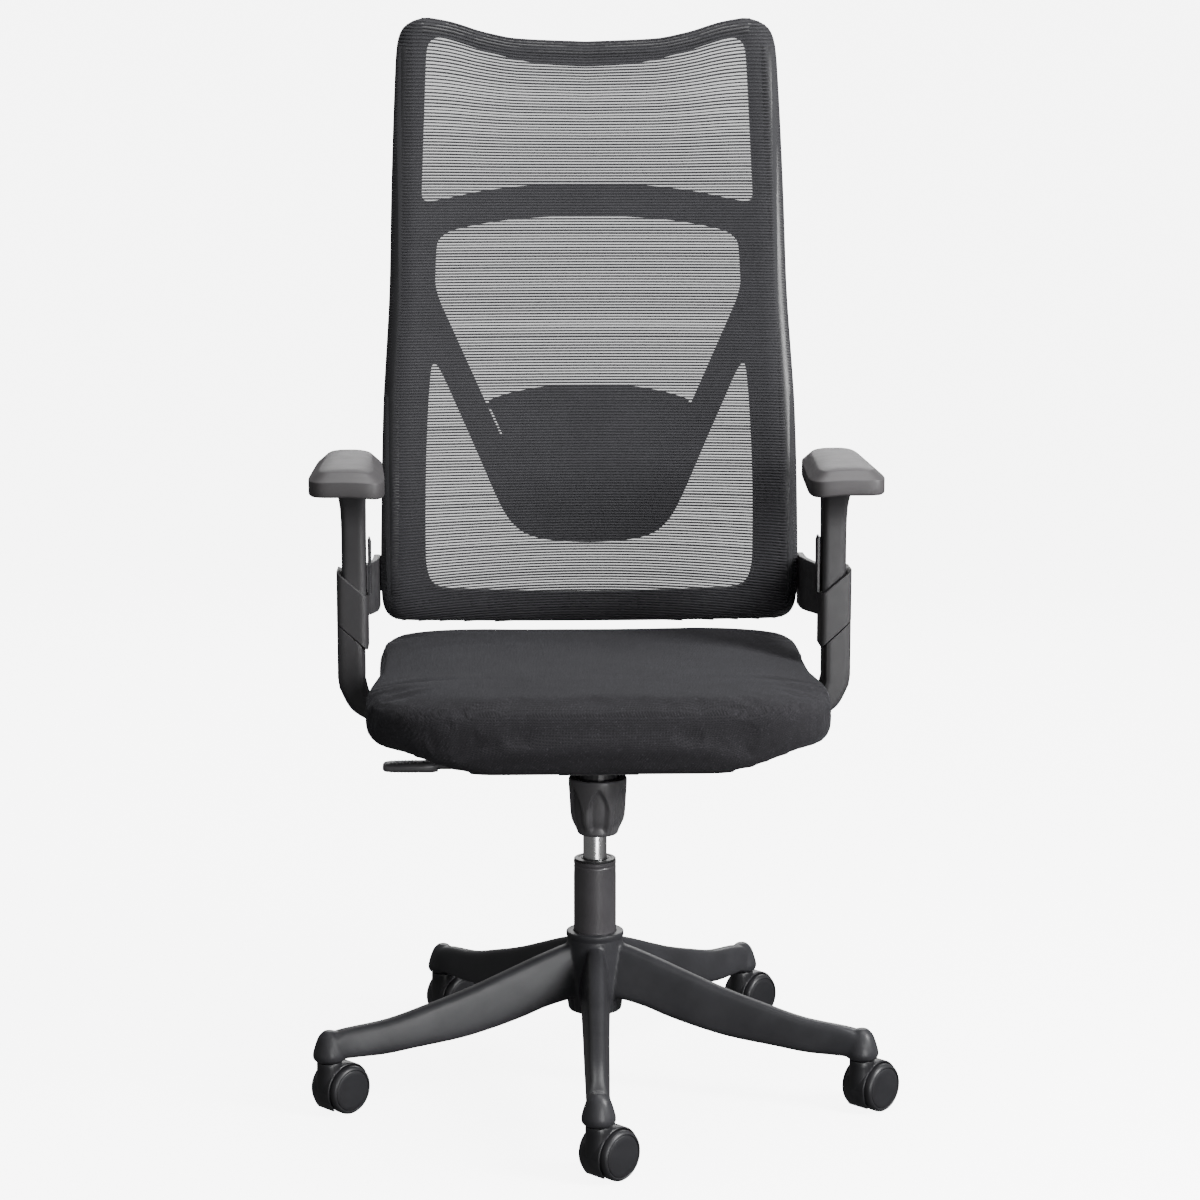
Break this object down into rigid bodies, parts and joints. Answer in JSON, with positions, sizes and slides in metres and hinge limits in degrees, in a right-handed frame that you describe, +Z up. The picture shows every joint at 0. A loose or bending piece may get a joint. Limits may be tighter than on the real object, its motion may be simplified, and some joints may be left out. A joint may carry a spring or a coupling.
{
  "type": "swivel office chair",
  "caption": "High-back swivel office chair with a mesh back on a moulded frame, padded seat, height-adjustable arms, tilt mechanism, gas lift and star base on casters.",
  "frame": {"origin": "centre of the whole chair's footprint box, on the floor", "axes": "+Z up, the chair faces -Y, the sitter's left is +X"},
  "size_m": [0.6843, 0.6847, 1.26],
  "materials": {
    "nylon_base": "moulded, fine satin texture",
    "caster_plastic": "moulded, satin",
    "wheel_nylon": "moulded, semi-gloss rim, matt cap",
    "steel": "plain zinc-plated steel",
    "column_paint": "satin powder coat",
    "bush_plastic": "moulded",
    "chrome_rod": "polished",
    "mechanism_paint": "black powder coat",
    "knob_plastic": "moulded, satin",
    "shell_plastic": "moulded, fine texture",
    "plywood": "raw moulded plywood",
    "seat_fabric": "charcoal woven polyester",
    "arm_plastic": "moulded, fine texture",
    "pad_plastic": "soft-touch, fine grain",
    "frame_plastic": "moulded, satin",
    "back_mesh_fabric": "open black mesh with horizontal cords",
    "lumbar_plastic": "moulded, perforated look"
  },
  "bodies": {
    "base": {"star_base": "nylon_base", "gas_tube": "column_paint", "guide_bush": "bush_plastic", "caster_stem_1": "steel", "caster_stem_2": "steel", "caster_stem_3": "steel", "caster_stem_4": "steel", "caster_stem_5": "steel"},
    "spindle": {"piston_rod": "steel", "thrust_bearing": "steel"},
    "lift": {"gas_cylinder": "chrome_rod", "mech_housing": "mechanism_paint", "tilt_pin": "steel", "tension_spring": "steel"},
    "release_pin": {"release_pin": "steel"},
    "rocker": {"lever_rocker": "mechanism_paint"},
    "lever": {"lever_rod": "steel", "lever_paddle": "knob_plastic"},
    "tension_bolt": {"tension_bolt": "steel"},
    "knob": {"tension_knob": "knob_plastic"},
    "seat": {"seat_plate": "mechanism_paint", "seat_shell": "shell_plastic", "seat_board": "plywood", "seat_cushion": "seat_fabric", "arm_bracket_left": "arm_plastic", "arm_bracket_right": "arm_plastic", "arm_sleeve_left": "arm_plastic", "arm_sleeve_right": "arm_plastic", "back_link_left": "arm_plastic", "back_link_right": "arm_plastic", "back_frame": "frame_plastic", "back_mesh": "back_mesh_fabric"},
    "lumbar": {"lumbar_pad": "lumbar_plastic"},
    "armrest_left": {"arm_post_left": "arm_plastic", "arm_pad_left": "pad_plastic"},
    "button_left": {"arm_button_left": "arm_plastic"},
    "armrest_right": {"arm_post_right": "arm_plastic", "arm_pad_right": "pad_plastic"},
    "button_right": {"arm_button_right": "arm_plastic"},
    "caster_1": {"caster_hood_1": "caster_plastic", "caster_axle_1": "steel"},
    "wheel_1a": {"wheel_1a": "wheel_nylon"},
    "wheel_1b": {"wheel_1b": "wheel_nylon"},
    "caster_2": {"caster_hood_2": "caster_plastic", "caster_axle_2": "steel"},
    "wheel_2a": {"wheel_2a": "wheel_nylon"},
    "wheel_2b": {"wheel_2b": "wheel_nylon"},
    "caster_3": {"caster_hood_3": "caster_plastic", "caster_axle_3": "steel"},
    "wheel_3a": {"wheel_3a": "wheel_nylon"},
    "wheel_3b": {"wheel_3b": "wheel_nylon"},
    "caster_4": {"caster_hood_4": "caster_plastic", "caster_axle_4": "steel"},
    "wheel_4a": {"wheel_4a": "wheel_nylon"},
    "wheel_4b": {"wheel_4b": "wheel_nylon"},
    "caster_5": {"caster_hood_5": "caster_plastic", "caster_axle_5": "steel"},
    "wheel_5a": {"wheel_5a": "wheel_nylon"},
    "wheel_5b": {"wheel_5b": "wheel_nylon"}
  },
  "joints": [
    {"name": "swivel", "type": "hinge", "parent": "base", "child": "spindle", "pos_m": [-0.01, 0.0041, 0.187], "axis": [0, 0, 1], "continuous": true},
    {"name": "height", "type": "slide", "parent": "spindle", "child": "lift", "axis": [0, 0, 1], "range_m": [-0.07, 0.025]},
    {"name": "seat_tilt", "type": "hinge", "parent": "lift", "child": "seat", "pos_m": [-0.01, -0.0709, 0.412], "axis": [-1, 0, 0], "range_deg": [0, 16], "stiffness_Nm_per_rad": 90, "springref_deg": -28.65},
    {"name": "height_lever", "type": "hinge", "parent": "lift", "child": "rocker", "pos_m": [-0.048, -0.0239, 0.396], "axis": [0, 1, 0], "range_deg": [0, 5], "stiffness_Nm_per_rad": 2, "springref_deg": -2.86},
    {"name": "lever_pull", "type": "slide", "parent": "rocker", "child": "lever", "axis": [-1, 0, 0], "range_m": [0, 0.012]},
    {"name": "release_pin_slide", "type": "slide", "parent": "lift", "child": "release_pin", "axis": [0, 0, 1], "range_m": [-0.0036, 0]},
    {"name": "tension_bolt_slide", "type": "slide", "parent": "lift", "child": "tension_bolt", "axis": [0, 0, 1], "range_m": [0, 0.0068], "deforming": ["tension_spring"]},
    {"name": "tension_knob_turn", "type": "hinge", "parent": "tension_bolt", "child": "knob", "pos_m": [-0.01, -0.0939, 0.367], "axis": [0, 0, 1], "continuous": true},
    {"name": "arm_height_left", "type": "slide", "parent": "seat", "child": "armrest_left", "axis": [0, 0, 1], "range_m": [-0.04, 0.02]},
    {"name": "arm_button_left", "type": "hinge", "parent": "seat", "child": "button_left", "pos_m": [0.2515, 0.0261, 0.5905], "axis": [0, 1, 0], "range_deg": [0, 1.5], "stiffness_Nm_per_rad": 1, "springref_deg": -1.72},
    {"name": "arm_height_right", "type": "slide", "parent": "seat", "child": "armrest_right", "axis": [0, 0, 1], "range_m": [-0.04, 0.02]},
    {"name": "arm_button_right", "type": "hinge", "parent": "seat", "child": "button_right", "pos_m": [-0.2715, 0.0261, 0.5905], "axis": [0, -1, 0], "range_deg": [0, 1.5], "stiffness_Nm_per_rad": 1, "springref_deg": -1.72},
    {"name": "lumbar_height", "type": "slide", "parent": "seat", "child": "lumbar", "axis": [0, 0.15, 0.9887], "range_m": [0, 0.035]},
    {"name": "caster_swivel_1", "type": "hinge", "parent": "base", "child": "caster_1", "pos_m": [-0.01679, -0.31983, 0.047], "axis": [0, 0, 1], "continuous": true},
    {"name": "wheel_1a_roll", "type": "hinge", "parent": "caster_1", "child": "wheel_1a", "pos_m": [-0.00472, -0.30858, 0.02826], "axis": [0.682, -0.7314, 0], "continuous": true},
    {"name": "wheel_1b_roll", "type": "hinge", "parent": "caster_1", "child": "wheel_1b", "pos_m": [-0.00472, -0.30858, 0.02826], "axis": [0.682, -0.7314, 0], "continuous": true},
    {"name": "caster_swivel_2", "type": "hinge", "parent": "base", "child": "caster_2", "pos_m": [0.29598, -0.10245, 0.047], "axis": [0, 0, 1], "continuous": true},
    {"name": "wheel_2a_roll", "type": "hinge", "parent": "caster_2", "child": "wheel_2a", "pos_m": [0.30805, -0.0912, 0.02826], "axis": [0.682, -0.7314, 0], "continuous": true},
    {"name": "wheel_2b_roll", "type": "hinge", "parent": "caster_2", "child": "wheel_2b", "pos_m": [0.30805, -0.0912, 0.02826], "axis": [0.682, -0.7314, 0], "continuous": true},
    {"name": "caster_swivel_3", "type": "hinge", "parent": "base", "child": "caster_3", "pos_m": [0.18589, 0.26218, 0.047], "axis": [0, 0, 1], "continuous": true},
    {"name": "wheel_3a_roll", "type": "hinge", "parent": "caster_3", "child": "wheel_3a", "pos_m": [0.19796, 0.27343, 0.02826], "axis": [0.682, -0.7314, 0], "continuous": true},
    {"name": "wheel_3b_roll", "type": "hinge", "parent": "caster_3", "child": "wheel_3b", "pos_m": [0.19796, 0.27343, 0.02826], "axis": [0.682, -0.7314, 0], "continuous": true},
    {"name": "caster_swivel_4", "type": "hinge", "parent": "base", "child": "caster_4", "pos_m": [-0.19491, 0.27015, 0.047], "axis": [0, 0, 1], "continuous": true},
    {"name": "wheel_4a_roll", "type": "hinge", "parent": "caster_4", "child": "wheel_4a", "pos_m": [-0.18284, 0.28141, 0.02826], "axis": [0.682, -0.7314, 0], "continuous": true},
    {"name": "wheel_4b_roll", "type": "hinge", "parent": "caster_4", "child": "wheel_4b", "pos_m": [-0.18284, 0.28141, 0.02826], "axis": [0.682, -0.7314, 0], "continuous": true},
    {"name": "caster_swivel_5", "type": "hinge", "parent": "base", "child": "caster_5", "pos_m": [-0.32017, -0.08955, 0.047], "axis": [0, 0, 1], "continuous": true},
    {"name": "wheel_5a_roll", "type": "hinge", "parent": "caster_5", "child": "wheel_5a", "pos_m": [-0.3081, -0.07829, 0.02826], "axis": [0.682, -0.7314, 0], "continuous": true},
    {"name": "wheel_5b_roll", "type": "hinge", "parent": "caster_5", "child": "wheel_5b", "pos_m": [-0.3081, -0.07829, 0.02826], "axis": [0.682, -0.7314, 0], "continuous": true}
  ],
  "couplings": [
    {"joint": "release_pin_slide", "follows": "height_lever", "m_per_rad": -0.04},
    {"joint": "tension_bolt_slide", "follows": "seat_tilt", "m_per_rad": 0.0235}
  ]
}
